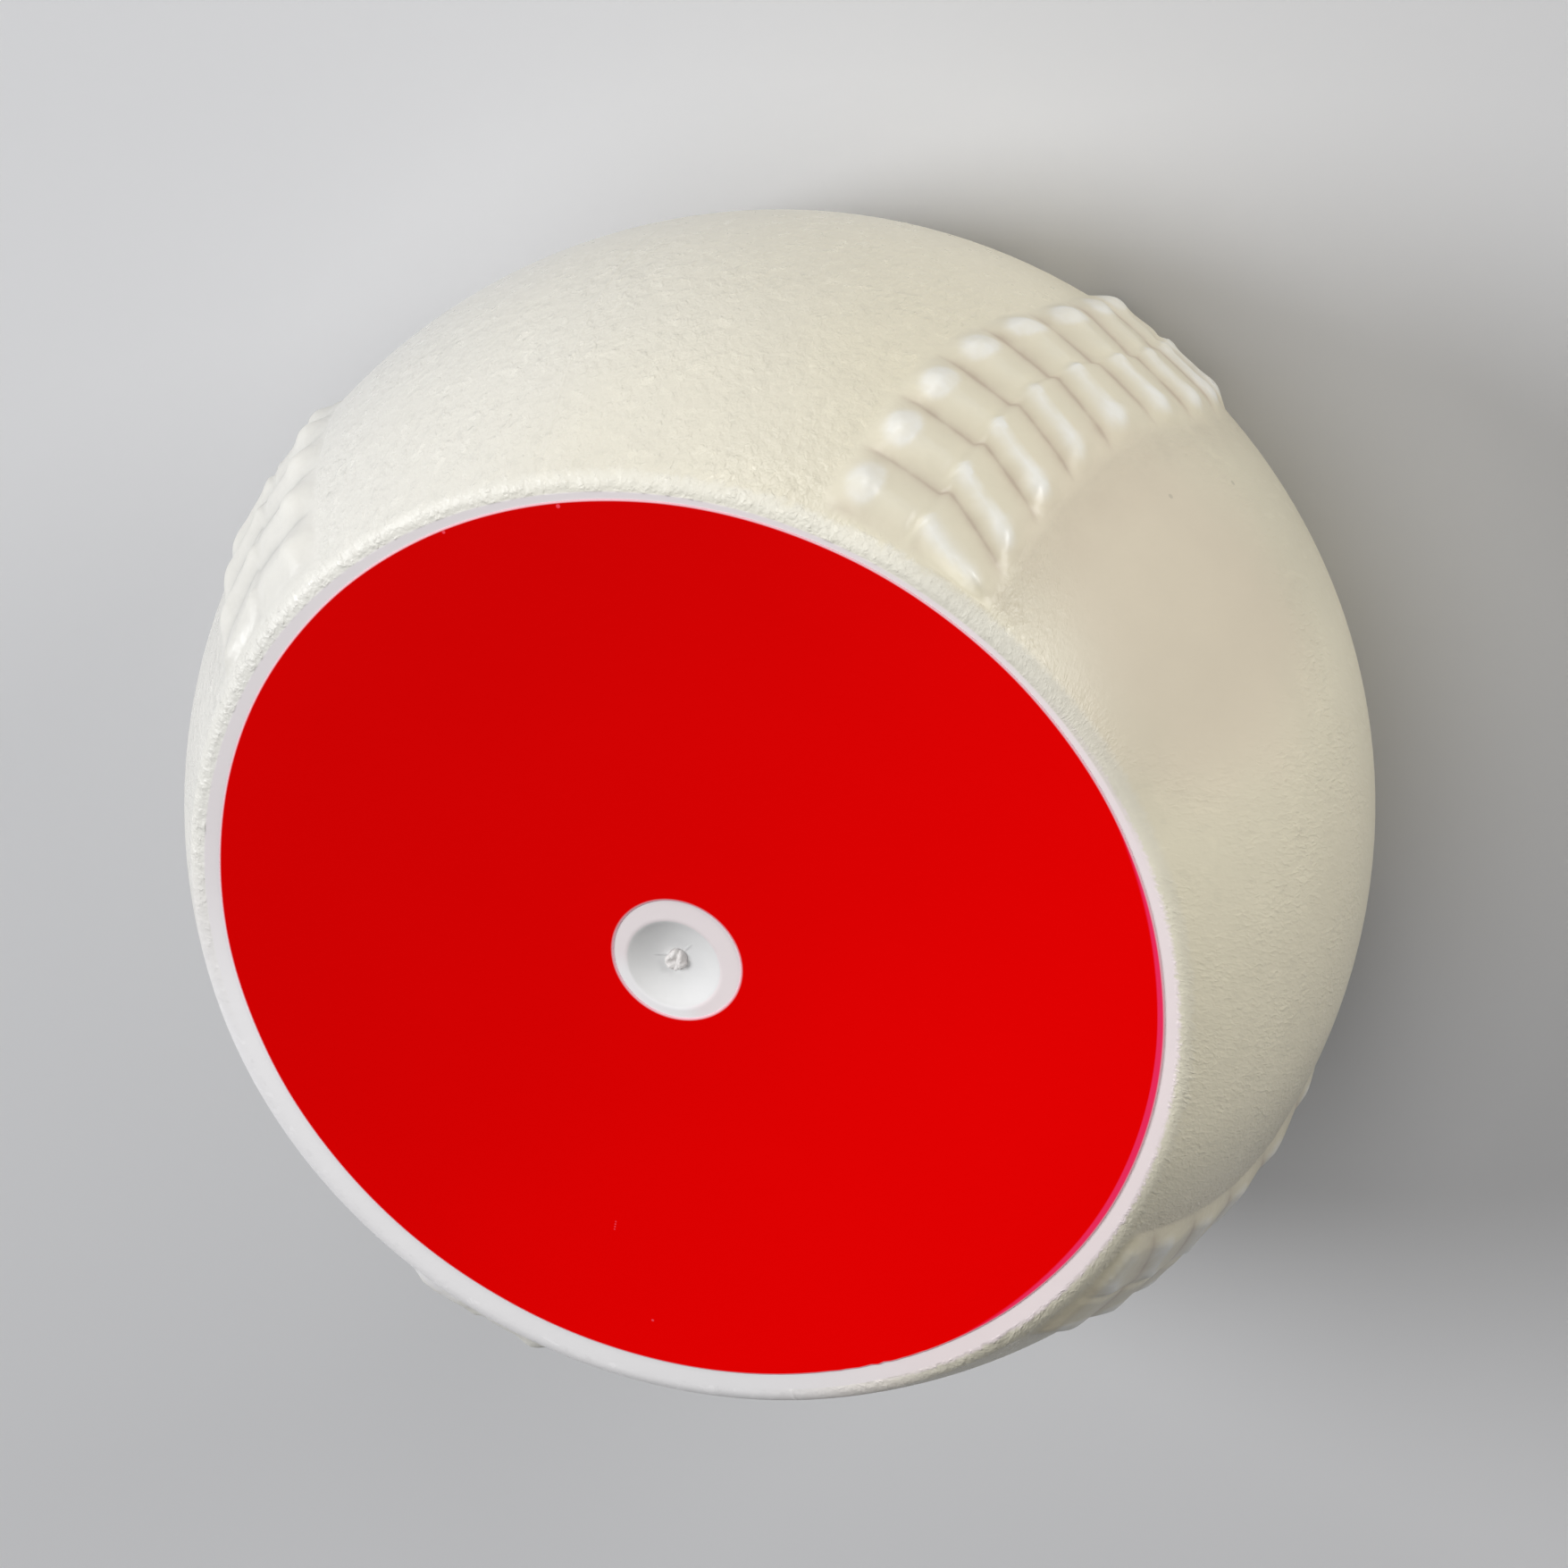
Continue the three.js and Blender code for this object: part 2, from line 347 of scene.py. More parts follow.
# Bars with a crest, a knob at the outer end, a head at the inner end and a groove between the rows
def stitchRelief(tree, size, at, mesh, blend):
    phase = ((at.patternHalf - at.slantedAlong + at.slant) / at.pitch).op("MAXIMUM", 0.0)
    phase = phase.op("MINIMUM", size["Stitch Count"])
    at.bar = (phase + mesh["floorGuard"]).op("FLOOR")
    chance = nodeField(tree, "ShaderNodeTexWhiteNoise", {"noise_dimensions": "1D"},
                       W=at.bar + size["Turn"] * blend["scatterStep"] + mesh["seed"])
    scatter = 1.0 + (chance - 0.5) * size["Stitch Scatter"]

    barStep, turnStep = blend["waverSteps"]
    waverPlace = nodeField(tree, "ShaderNodeCombineXYZ", X=at.distance / blend["waverLength"],
                           Y=at.bar * barStep + size["Turn"] * turnStep)
    waver = nodeField(tree, "ShaderNodeTexNoise", {"noise_dimensions": "2D"}, Vector=waverPlace,
                      Scale=1.0, Detail=1.0)
    crest = lerp(size["Crest Left"], size["Crest Right"], at.onRight)
    crest = crest + (waver - 0.5) * size["Stitch Wobble"]
    at.fromCrest = phase - at.bar - crest
    across = (-at.fromCrest / crest).op("MAXIMUM", at.fromCrest / (1.0 - crest))
    at.across = across.op("MINIMUM", 1.0)

    at.fromTip = (size["Seam Half"] - blend["tipInset"] - at.away) / size["Bar Ramp"]
    at.tip = mathNode(tree, "SMOOTH_MIN", at.fromTip.op("MAXIMUM", 0.0), 1.0, blend["tipChange"])
    at.fade = smooth((at.patternHalf - at.slantedAlong.op("ABSOLUTE")) / (at.pitch * blend["endFade"]))
    upperHalf = ramp(at.slantedAlong, blend["upperHalf"])
    creaseDepth = size["Crease Depth"] * lerp(blend["lowerDepth"], 1.0, upperHalf)
    roof = 1.0 - (at.across ** size["Crest Power"]) * creaseDepth
    groove = hump(at.distance * size["Side"] - size["Groove Place"], size["Groove Width"])
    ground = size["Ground Height"]
    ridge = roof * (size["Bar Height"] - ground - groove * size["Groove Depth"])

    fromKnob = at.away - size["Knob Place"]
    outerHalf = hump(fromKnob.op("MAXIMUM", 0.0), size["Knob Rise"])
    innerHalf = hump(fromKnob.op("MINIMUM", 0.0), size["Knob Drop"])
    knob = outerHalf * innerHalf * hump(at.fromCrest * at.pitch, size["Knob Width"])
    at.knob = knob * lerp(1.0, blend["rightKnob"], at.onRight)
    head = hump(at.distance * size["Side"] + size["Head Place"], size["Head Length"])
    at.head = head * hump(at.fromCrest * at.pitch, size["Head Length"])
    lumps = at.knob * size["Knob Height"] + at.head * size["Head Height"]
    lumps = lumps * smooth((size["Seam Half"] - at.away) / blend["lumpFade"]) * size["Crease Depth"]
    at.relief = ((ground + ridge) * at.tip + lumps) * scatter * at.fade


# What the finish needs to know of the seam: its zone, the painted shade in its creases and beside the right
# row, and the painted sheen on its raised parts
def seamShadeAndSheenMasks(size, at, wearAndLight):
    seamZone = ramp(at.fromTip, wearAndLight["zone"])
    footShade = hump(at.distance * size["Side"] + wearAndLight["footPlace"], wearAndLight["footWidth"])
    footShade = footShade * (1.0 - smooth(at.beyond * wearAndLight["footEnd"]))
    linePower, lineShare = wearAndLight["creaseLine"]
    shadePower, shadeShare = wearAndLight["creaseShade"]
    crease = (at.across ** linePower) * lineShare + (at.across ** shadePower) * shadeShare
    hollow = (crease * at.tip + footShade * wearAndLight["footShare"]) * at.fade
    atRim = (1.0 - at.bar).op("MAXIMUM", 0.0) * at.onRight
    narrow = lerp(*wearAndLight["crestNarrow"], atRim)
    stripe = smooth(wearAndLight["crestEdge"] - at.fromCrest * narrow + at.knob * wearAndLight["crestKnob"])
    raised = ramp(at.relief, wearAndLight["sheenHeight"]) * stripe * lerp(wearAndLight["leftShare"], 1.0, at.onRight)
    raised = raised.op("MAXIMUM", ramp(at.knob, wearAndLight["knob"])).op("MAXIMUM", ramp(at.head, wearAndLight["head"]))
    return {"seamZone": seamZone, "hollow": hollow, "raised": raised * at.fade}


def stitchedBand(tree, size, at, mesh, rows, masks):
    band = quarterGrid(tree, mesh, rows)
    for name, field in masks.items():
        kind = {"data_type": "FLOAT", "domain": "POINT"}
        band = addNode(tree, "GeometryNodeStoreNamedAttribute", kind, Geometry=band, Name=name,
                       Value=field).outputs[0]
    ballRadius = size["Ball Radius"] + at.relief
    latitude = at.along / size["Ball Radius"]
    slanted = at.slantedAlong / size["Ball Radius"]
    azimuth = seamAzimuth(size, at, size["Ball Radius"] * latitude.op("SINE"), latitude)
    return movedTo(tree, band, sphericalPoint(
        tree, ballRadius * slanted.op("COSINE"), ballRadius * slanted.op("SINE"), azimuth))


# Edge rounding from the last stitch row to a flat face, and the face with its dimple
def edgeAndFace(tree, size, at, mesh, end):
    radius, halfWidth, dimple = size["Ball Radius"], size["Half Width"], size["Dimple Radius"]
    toFace = (at.v * end + 1.0) * 0.5
    startLatitude = at.patternHalf / radius
    startHeight = radius * startLatitude.op("SINE")
    azimuth = seamAzimuth(size, at, startHeight * end, startLatitude)
    edge = size["Edge Round"] + size["Edge Change"] * (azimuth - size["Edge Turn"]).op("COSINE")
    edgeRing = ((radius - edge) ** 2.0 - (halfWidth - edge) ** 2.0).op("SQRT")
    edgeLatitude = ((halfWidth - edge) / (radius - edge)).op("ARCSINE")
    ringStep = 1.0 / (mesh["edgeRings"] - 1)
    isStart = toFace.op("LESS_THAN", ringStep * 0.5)
    arc = lerp(edgeLatitude, math.pi / 2, (toFace - ringStep) / (1.0 - ringStep))
    level = lerp(edgeRing + edge * arc.op("COSINE"), radius * startLatitude.op("COSINE"), isStart)
    rise = lerp(halfWidth - edge + edge * arc.op("SINE"), startHeight, isStart)
    rounding = movedTo(tree, quarterGrid(tree, mesh, mesh["edgeRings"]),
                       sphericalPoint(tree, level, rise * end, azimuth))

    flatEnd = dimple * mesh["flatEnd"]
    flat = (1.0 - toFace / mesh["flatShare"]).op("MAXIMUM", 0.0)
    bowl = ((toFace - mesh["flatShare"]) / (1.0 - mesh["flatShare"])).op("MAXIMUM", 0.0)
    faceLevel = flatEnd + (edgeRing - flatEnd) * flat - (flatEnd - size["Gate Radius"]) * bowl
    sink = (faceLevel / dimple) ** size["Dimple Power"] - 1.0
    faceHeight = mathNode(tree, "SMOOTH_MIN", halfWidth + sink * size["Dimple Depth"], halfWidth,
                          size["Rim Round"])
    face = movedTo(tree, quarterGrid(tree, mesh, mesh["faceRings"]),
                   sphericalPoint(tree, faceLevel, faceHeight * end, azimuth))
    return [rounding, face]


# One quarter of the cover, with the seam along its middle
def seamQuarterTree(sizes, mesh, blend, wearAndLight):
    tree = bpy.data.node_groups.new("seamQuarter", "GeometryNodeTree")
    inputs = {**sizes, "Turn": 0.0, "Side": 1.0, "Crease Depth": 1.0}
    for name, value in inputs.items():
        groupSocket(tree, "INPUT", name, value=value)
    groupSocket(tree, "OUTPUT", "Geometry", "Geometry")
    source = tree.nodes.new("NodeGroupInput")
    size = {name: Field(tree, source.outputs[name]) for name in inputs}
    at = quarterPlace(tree, size, mesh)
    slantRows(tree, size, at, blend)
    stitchRelief(tree, size, at, mesh, blend)
    rows = int(sizes["Stitch Count"]) * mesh["rowsPerStitch"] + 1
    pieces = [stitchedBand(tree, size, at, mesh, rows, seamShadeAndSheenMasks(size, at, wearAndLight))]
    for end in (1.0, -1.0):
        pieces += edgeAndFace(tree, size, at, mesh, end)
    join = tree.nodes.new("GeometryNodeJoinGeometry")
    for piece in reversed(pieces):
        tree.links.new(piece, join.inputs[0])
    addNode(tree, "NodeGroupOutput", Geometry=join.outputs[0])
    return tree


# Four quarters, each the mirror image of the next but for its wear
def coverTree(sizes, mesh, blend, quarter):
    tree = bpy.data.node_groups.new("ballCover", "GeometryNodeTree")
    groupSocket(tree, "INPUT", "Geometry", "Geometry")
    for name in [*sizes, "Centre Height"]:
        groupSocket(tree, "INPUT", name)
    groupSocket(tree, "INPUT", "Material", "Material")
    groupSocket(tree, "OUTPUT", "Geometry", "Geometry")
    source = tree.nodes.new("NodeGroupInput").outputs
    join = tree.nodes.new("GeometryNodeJoinGeometry")
    for seam, creaseDepth in enumerate(blend["creaseDepths"]):
        part = addNode(tree, "GeometryNodeGroup", {"node_tree": quarter}, Turn=seam * math.pi / 2,
                       Side=-1.0 if seam % 2 == 0 else 1.0, Crease_Depth=creaseDepth,
                       **{name: source[name] for name in sizes})
        tree.links.new(part.outputs[0], join.inputs[0])
    merge = addNode(tree, "GeometryNodeMergeByDistance", Geometry=join.outputs[0], Distance=mesh["weld"])
    lift = addNode(tree, "ShaderNodeCombineXYZ", Z=source["Centre Height"])
    move = addNode(tree, "GeometryNodeTransform", Geometry=merge.outputs[0], Translation=lift.outputs[0])
    real = addNode(tree, "GeometryNodeRealizeInstances", Geometry=move.outputs[0])
    paint = addNode(tree, "GeometryNodeSetMaterial", Geometry=real.outputs[0], Material=source["Material"])
    addNode(tree, "NodeGroupOutput", Geometry=paint.outputs[0])
    return tree


def grownFromTree(name, tree, values):
    shell = addObject(name + "Growing", bpy.data.meshes.new(name + "Empty"))
    modifier = shell.modifiers.new("grow", "NODES")
    modifier.node_group = tree
    for item in tree.interface.items_tree:
        if item.item_type == "SOCKET" and item.in_out == "INPUT" and item.name in values:
            modifier[item.identifier] = values[item.name]
    depsgraph = bpy.context.evaluated_depsgraph_get()
    grown = shell.evaluated_get(depsgraph)
    mesh = bpy.data.meshes.new_from_object(grown, preserve_all_data_layers=True, depsgraph=depsgraph)
    mesh.name = name
    shell.modifiers.remove(modifier)
    bpy.data.objects.remove(shell)
    return addObject(name, mesh)


# Core: the inner moulding, of which only the torn gate tips show, in the dimples
coreSizes = {
    "bandWall": 8.0 * mm,  # of the cover round it
    "faceWall": 7.0 * mm,
    "bossBase": 4.0 * mm,  # radius
    "keyHalf": 4.0 * mm,
    "keyDepth": 2.0 * mm,
    "clearance": 0.03 * mm,
    "arcSteps": 10,
    "segments": 64,
    # radius and rise in mm of the torn tip above the dimple's floor
    "tip": ((0.53, 0.03), (0.58, 0.12), (0.60, 0.22), (0.54, 0.31), (0.42, 0.36), (0.28, 0.33), (0.14, 0.30)),
    "tear": 0.17 * mm,  # how rough the torn surface is
    "tearScale": 2.9,
    "fineTear": (2.3, 0.5),  # scale and share of a finer roughness
    "spread": 0.42,
    "spreadScale": 0.6,
    "spreadShift": (9, 4, 2),
    "endsApart": 3.0,  # so that the two tips differ
    "lean": (-0.08 * mm, 0.30 * mm),
    "leanRise": 0.3 * mm,
}


def coreRings(grow):
    radius = coverSizes["Ball Radius"] - coreSizes["bandWall"] + grow
    flat = coverSizes["Half Width"] - coreSizes["faceWall"]
    keyHalf = coreSizes["keyHalf"] - grow
    start, end = math.asin(keyHalf / radius), math.asin(flat / radius)
    rings = [(coreSizes["bossBase"] + grow, flat)]
    for step in range(coreSizes["arcSteps"] + 1):
        latitude = end + (start - end) * step / coreSizes["arcSteps"]
        rings.append((radius * math.cos(latitude), radius * math.sin(latitude)))
    rings.append((radius - coreSizes["keyDepth"], keyHalf))
    return rings + [(level, -height) for level, height in reversed(rings)]


# Room for the core inside the cover, joined to the gate holes of both dimples
def lineCover(cover):
    mesh = bmesh.new()
    mesh.from_mesh(cover.data)
    openEdges = [edge for edge in mesh.edges if edge.is_boundary]
    upper = [edge for edge in openEdges if edge.verts[0].co.z > ballCentre]
    lower = [edge for edge in openEdges if edge.verts[0].co.z < ballCentre]
    loop = upper
    for level, height in coreRings(coreSizes["clearance"]):
        grown = bmesh.ops.extrude_edge_only(mesh, edges=loop)["geom"]
        loop = [item for item in grown if isinstance(item, bmesh.types.BMEdge) and item.is_boundary]
        for vertex in (item for item in grown if isinstance(item, bmesh.types.BMVert)):
            scale = level / math.hypot(vertex.co.x, vertex.co.y)
            vertex.co = (vertex.co.x * scale, vertex.co.y * scale, ballCentre + height)
    bmesh.ops.bridge_loops(mesh, edges=loop + lower)
    bmesh.ops.recalc_face_normals(mesh, faces=mesh.faces)
    for face in mesh.faces:
        face.smooth = True
    mesh.to_mesh(cover.data)
    mesh.free()


# Shader groups that more than one finish uses
def shaderGroup(name, inputs, output):
    tree = bpy.data.node_groups.new(name, "ShaderNodeTree")
    groupSocket(tree, "INPUT", "Vector", "Vector")
    for key, value in inputs.items():
        groupSocket(tree, "INPUT", key, value=value)
    groupSocket(tree, "OUTPUT", output)
    source = tree.nodes.new("NodeGroupInput")
    fields = {key: Field(tree, source.outputs[key]) for key in ["Vector", *inputs]}
    return tree, fields, tree.nodes.new("NodeGroupOutput").inputs[0]


def toneDriftGroup():
    tree, field, result = shaderGroup("toneDrift", {"Scale": 60.0}, "Drift")
    soft = nodeField(tree, "ShaderNodeTexNoise", **field, Detail=2.5, Roughness=0.55, Distortion=0.0)
    feed(tree, result, (soft - 0.5) * 2.0)
    return tree


def mouldGrainGroup():
    tree, field, result = shaderGroup("mouldGrain", {"Scale": 2000.0, "Wrinkle": 0.5}, "Height")
    vector, scale = field["Vector"], field["Scale"]
    fine = scale * 2.1  # wrinkles are finer than pebbles
    pebble = nodeField(tree, "ShaderNodeTexNoise", Vector=vector, Scale=scale, Detail=0.0,
                       Roughness=0.5, Distortion=0.4)
    wrinkle = nodeField(tree, "ShaderNodeTexNoise", Vector=vector, Scale=fine, Detail=1.0,
                        Roughness=0.6, Distortion=0.4)
    feed(tree, result, lerp(pebble, wrinkle, field["Wrinkle"]))
    return tree


def fineSpecksGroup():
    tree, field, result = shaderGroup("fineSpecks", {"Scale": 300.0, "Amount": 0.05, "Size": 0.12}, "Mask")
    cells = addNode(tree, "ShaderNodeTexVoronoi", {"feature": "F1"}, Vector=field["Vector"],
                    Scale=field["Scale"], Randomness=1.0)
    chance = nodeField(tree, "ShaderNodeTexWhiteNoise", {"noise_dimensions": "3D"},
                       Vector=cells.outputs["Position"])
    chosen = chance.op("LESS_THAN", field["Amount"])
    dot = smooth((field["Size"] - Field(tree, cells.outputs["Distance"])) / (field["Size"] * 0.5))
    feed(tree, result, dot * chosen)
    return tree


toneDrift = toneDriftGroup()
mouldGrain = mouldGrainGroup()
fineSpecks = fineSpecksGroup()


def newFinish(name):
    material = bpy.data.materials.new(name)
    material.use_nodes = True
    tree = material.node_tree
    return material, tree, tree.nodes["Principled BSDF"]


def groupField(tree, group, vector, **values):
    return nodeField(tree, "ShaderNodeGroup", {"node_tree": group}, Vector=vector, **values)


def objectPlace(tree):
    vector = tree.nodes.new("ShaderNodeTexCoord").outputs["Object"]
    return Field(tree, vector), axesOf(tree, vector)


def attributeField(tree, name):
    node = addNode(tree, "ShaderNodeAttribute", {"attribute_name": name})
    return Field(tree, node.outputs["Fac"])


def colourMix(tree, share, first, second):
    node = addNode(tree, "ShaderNodeMix", {"data_type": "RGBA"})
    feed(tree, node.inputs[0], share)
    for slot, colour in ((node.inputs[6], first), (node.inputs[7], second)):
        feed(tree, slot, (*colour, 1.0) if isinstance(colour, tuple) else colour)
    return Field(tree, node.outputs[2])


def shade(tree, colour, factor):
    return nodeField(tree, "ShaderNodeHueSaturation", Color=colour, Value=factor)


def bumpNormal(tree, height, distance):
    return nodeField(tree, "ShaderNodeBump", Height=height, Distance=distance, Strength=1.0)


# A round spot that fades between the two squared distances
def spotMask(axes, spot, size):
    squares = [((axis - value) / size) ** 2.0 for axis, value in zip(axes, spot)]
    return ramp(sum(squares[1:], squares[0]), (1.6, 0.6))


# A thin line outwards from the middle of the face
lineSizes = {"width": 0.07 * mm, "startFade": 0.2 * mm, "endFade": 0.5 * mm}


def flowMask(x, y, azimuth, start, end):
    turn = math.radians(azimuth)
    along = x * math.cos(turn) + y * math.sin(turn)
    across = y * math.cos(turn) - x * math.sin(turn)
    begun = ramp(along, (start, start + lineSizes["startFade"]))
    return hump(across, lineSizes["width"]) * begun * ramp(along, (end, end - lineSizes["endFade"]))


# Cream moulded elastomer: leather grain on the round side, plain on the flat faces and stitches
leatherColours = {
    "paleCream": (0.80, 0.785, 0.735),
    "agedCream": (0.785, 0.728, 0.558),
    "pinkCream": (0.785, 0.698, 0.540),  # the smooth worn place on the aged side
    "sheenCream": (0.875, 0.86, 0.79),  # painted sheen on the raised parts of the stitches, and on the rim
    # painted shade in the creases between stitches and beside the right row, brown on the aged side and grey
    # on the pale side
    "paintedCreaseBrown": (0.56, 0.47, 0.36),
    "paintedCreaseGrey": (0.62, 0.61, 0.58),
    "faceShadedGrey": (0.725, 0.680, 0.690),  # the flat ring, with painted shade on one side and painted light on the other side and on the low side
    "faceLitWhite": (0.96, 0.845, 0.85),
    "faceLitLow": (0.86, 0.845, 0.85),
    "bowlWhite": (0.765, 0.760, 0.755),
}
# Where the finish changes: each pair is where a mask starts and where it is full, azimuths in degrees
leatherPlaces = {
    "driftScale": 55.0,
    "blotchScale": 190.0,
    "agedSide": (-0.82, -0.57),  # direction of the side that has yellowed
    "agedDrift": 0.16,
    "aged": (-0.72, 0.62),
    "rightSide": (0.45, 0.75),  # the most aged part, where the grain runs aslant
    "farTurn": 15.0,
    "farSide": (-0.40909, -0.86364),
    "lowSide": (0.375, 0.79167),
    "calmTurn": 248.0,  # the edge is smoother here
    "calm": (0.84, 0.96),
    "nearHalf": (-5.0 * mm, 4.0 * mm),  # the lower half has a fainter grain
    "nearEdge": (13.0 * mm, 20.0 * mm),
    "flatRadius": 29.42 * mm,  # the smooth part of the face
    "flatWider": 0.1 * mm,  # by so much on the far side
    "flat": (0.08 * mm, -0.08 * mm),
    "smoothPatch": (250.0, 11.0 * mm, 16.0 * mm),  # azimuth, height and size of a worn smooth place
    "patch": (0.85, 0.45),
    "pink": (0.9, 0.4),
    "pinkBlotch": 0.15,
    "dimple": (2.9 * mm, 2.75 * mm),
    "ringSides": (30.0 * mm, -30.0 * mm),
    "rim": (19.8 * mm, 20.3 * mm),
    "rimFarLess": 0.6,
    "rimFuzz": (0.9 * mm, 0.45 * mm),  # ragged edge of the rim's colour, the second where it is calm
    "lowRim": (19.2 * mm, 19.8 * mm),
    "farRim": (29.85 * mm, 29.55 * mm),
    "farRimFuzz": 0.6 * mm,
}
leatherGrain = {
    "scale": 1600.0,
    "height": 0.17 * mm,
    "slope": 0.43,  # of the grain on the right side
    "stretch": (0.8, 0.45),  # elsewhere and on the right side
    "wrinkle": (0.45, 0.85),
    "coarse": {"Scale": 1280.0, "Wrinkle": 0.35},
    "faint": {"Scale": 720.0, "Wrinkle": 0.8},
    "glints": (0.60, 0.68),
    "glintsRightLess": 0.5,
    "pits": (0.39, 0.33),
    "ticks": (0.53, 0.73),
    "patchLess": 0.88,
    "lowEdgeLess": 0.92,
    "lowerHalf": 0.6,
    "plainShare": 0.95,  # how strong the grain is, and what changes that
    "share": {"rightSide": -0.35, "blotch": 0.8},
    "edgeShare": 0.2,
    "edgeChange": {"rightSide": -0.3, "calm": -0.4},
    "partingWidth": 0.17 * mm,
    "lineHeight": 0.03 * mm,
}
leatherWearAndPaintedLight = {
    "unevenScale": 620.0,
    "uneven": 0.9,
    "stitchSheen": (0.1, 0.9),  # painted sheen on the stitches, on the pale side and on the aged side
    # painted sheen on the rim, on the pale side and on the aged side
    "rimSheen": (0.15, 0.6),
    # painted shade in the creases
    "crease": 0.72,
    "mottleScale": 430.0,
    "mottlePatchLess": 0.6,
    "specks": {"Scale": 420.0, "Amount": 0.03, "Size": 0.16},
    # azimuth, start, end and strength of two flow lines in the dimple
    "flowLines": ((30.0, 0.45 * mm, 1.6 * mm, 1.0), (262.0, 0.5 * mm, 1.5 * mm, 0.6)),
    # azimuth, how narrow, the painted light that side gets (painted shade where it is below 0), and the
    # stitches' share of that
    "paintedLightSides": ((218.0, 0.88, 0.03, 1.0), (176.0, 0.90, -0.16, 1.0),
                 (256.0, 0.92, -0.12, 0.0), (8.0, 0.95, -0.05, 1.0)),
    "paintedLightMiddle": 0.98,
    "scuffs": ((253.4, -2.1), (257.8, 8.6)),  # azimuth and latitude
    "scuffSize": 0.15 * mm,
    "scuffTone": -0.18,
}
# How much each mask adds to the tone, the relief and the roughness
leatherShares = {
    # in the tone, the glints are painted highlights and the pit shade is painted shade
    "tone": {"drift": 0.025, "blotch": 0.025, "mottle": 0.03, "flow": -0.16, "specks": -0.10,
             "glints": 0.06, "pits": -0.04},
    "grain": {"pebble": 0.7, "ticks": 0.1, "glints": 0.06},
    "relief": {"lines": 1.0, "faint": 0.06, "unevenSeam": 0.3},
    "roughness": {"blotch": 0.05, "flat": 0.22, "grainCut": -0.08, "raised": 0.16, "agedRaised": -0.22,
                  "rim": 0.14, "glints": -0.08},
    "plainRoughness": 0.36,
    "specular": 0.5,
}


def weighted(at, shares):
    fields = [getattr(at, name) * share for name, share in shares.items()]
    return sum(fields[1:], fields[0])


def pointOnBall(azimuth, latitude):
    turn, rise = math.radians(azimuth), math.radians(latitude)
    level, height = math.cos(rise), math.sin(rise)
    return Vector((math.cos(turn) * level, math.sin(turn) * level, height)) * coverSizes["Ball Radius"]


# Masks of the places on the cover
def leatherZones(tree, look):
    place, (x, y, z) = objectPlace(tree)
    azimuth = y.op("ARCTAN2", x)

    def towards(degrees):
        return (azimuth - math.radians(degrees)).op("COSINE")

    at = SimpleNamespace(
        place=place, x=x, y=y, height=z - ballCentre, level=(x * x + y * y).op("SQRT"), towards=towards,
        **{name: attributeField(tree, name) for name in ("seamZone", "hollow", "raised")})
    at.farSide = ramp(at.towards(look["farTurn"]), look["farSide"])
    at.lowSide = ramp(y / at.level, look["lowSide"])
    at.calm = ramp(at.towards(look["calmTurn"]), look["calm"])
    at.flat = ramp(at.level - look["flatRadius"] - at.farSide * look["flatWider"], look["flat"])
    at.plainSide = (1.0 - at.flat) * (1.0 - at.seamZone)  # the ball's side without its seams
    at.nearHalf = ramp(at.height, look["nearHalf"])
    at.nearEdge = ramp(at.height.op("ABSOLUTE"), look["nearEdge"])

    radius = coverSizes["Ball Radius"]
    patchTurn, patchHeight, patchSize = look["smoothPatch"]
    patchX = x - radius * math.cos(math.radians(patchTurn))
    patchY = y - radius * math.sin(math.radians(patchTurn))
    patchZ = at.height - patchHeight
    away = (patchX * patchX + patchY * patchY + patchZ * patchZ).op("SQRT") / patchSize
    at.drift = groupField(tree, toneDrift, place, Scale=look["driftScale"])
    at.blotch = groupField(tree, toneDrift, place, Scale=look["blotchScale"])
    at.patch = ramp(away, look["patch"])
    at.pink = ramp(away - at.blotch * look["pinkBlotch"], look["pink"])
    agedX, agedY = look["agedSide"]
    facing = (x * agedX + y * agedY) / radius + at.drift * look["agedDrift"]
    at.aged = ramp(facing, look["aged"])
    at.rightSide = ramp(facing, look["rightSide"])
    return at


def addGrain(tree, at, look):
    slope = at.height / at.level * at.rightSide * look["slope"]
    lengthwise = nodeField(tree, "ShaderNodeCombineXYZ", X=at.x + slope * at.y, Y=at.y - slope * at.x,
                           Z=at.height * lerp(*look["stretch"], at.rightSide))
    grain = groupField(tree, mouldGrain, lengthwise, Scale=look["scale"],
                       Wrinkle=lerp(*look["wrinkle"], at.rightSide))
    coarse = groupField(tree, mouldGrain, lengthwise, **look["coarse"])
    at.faint = groupField(tree, mouldGrain, at.place, **look["faint"])
    at.pebble = grain - 0.5
    at.ticks = ramp(grain, look["ticks"])
    grainy = at.plainSide * (1.0 - at.patch) * (1.0 + at.blotch)
    at.glints = ramp(coarse, look["glints"]) * grainy * (1.0 - at.rightSide * look["glintsRightLess"])
    at.pits = ramp(coarse, look["pits"]) * grainy * at.nearHalf

    share = look["plainShare"] + weighted(at, look["share"])
    share = share + at.nearEdge * (look["edgeShare"] + weighted(at, look["edgeChange"]))
    calmed = (1.0 - at.patch * look["patchLess"]) * (1.0 - at.lowSide * at.nearEdge * look["lowEdgeLess"])
    at.grainShare = share * calmed * at.plainSide * lerp(look["lowerHalf"], 1.0, at.nearHalf)
    at.grainCut = grain * at.grainShare
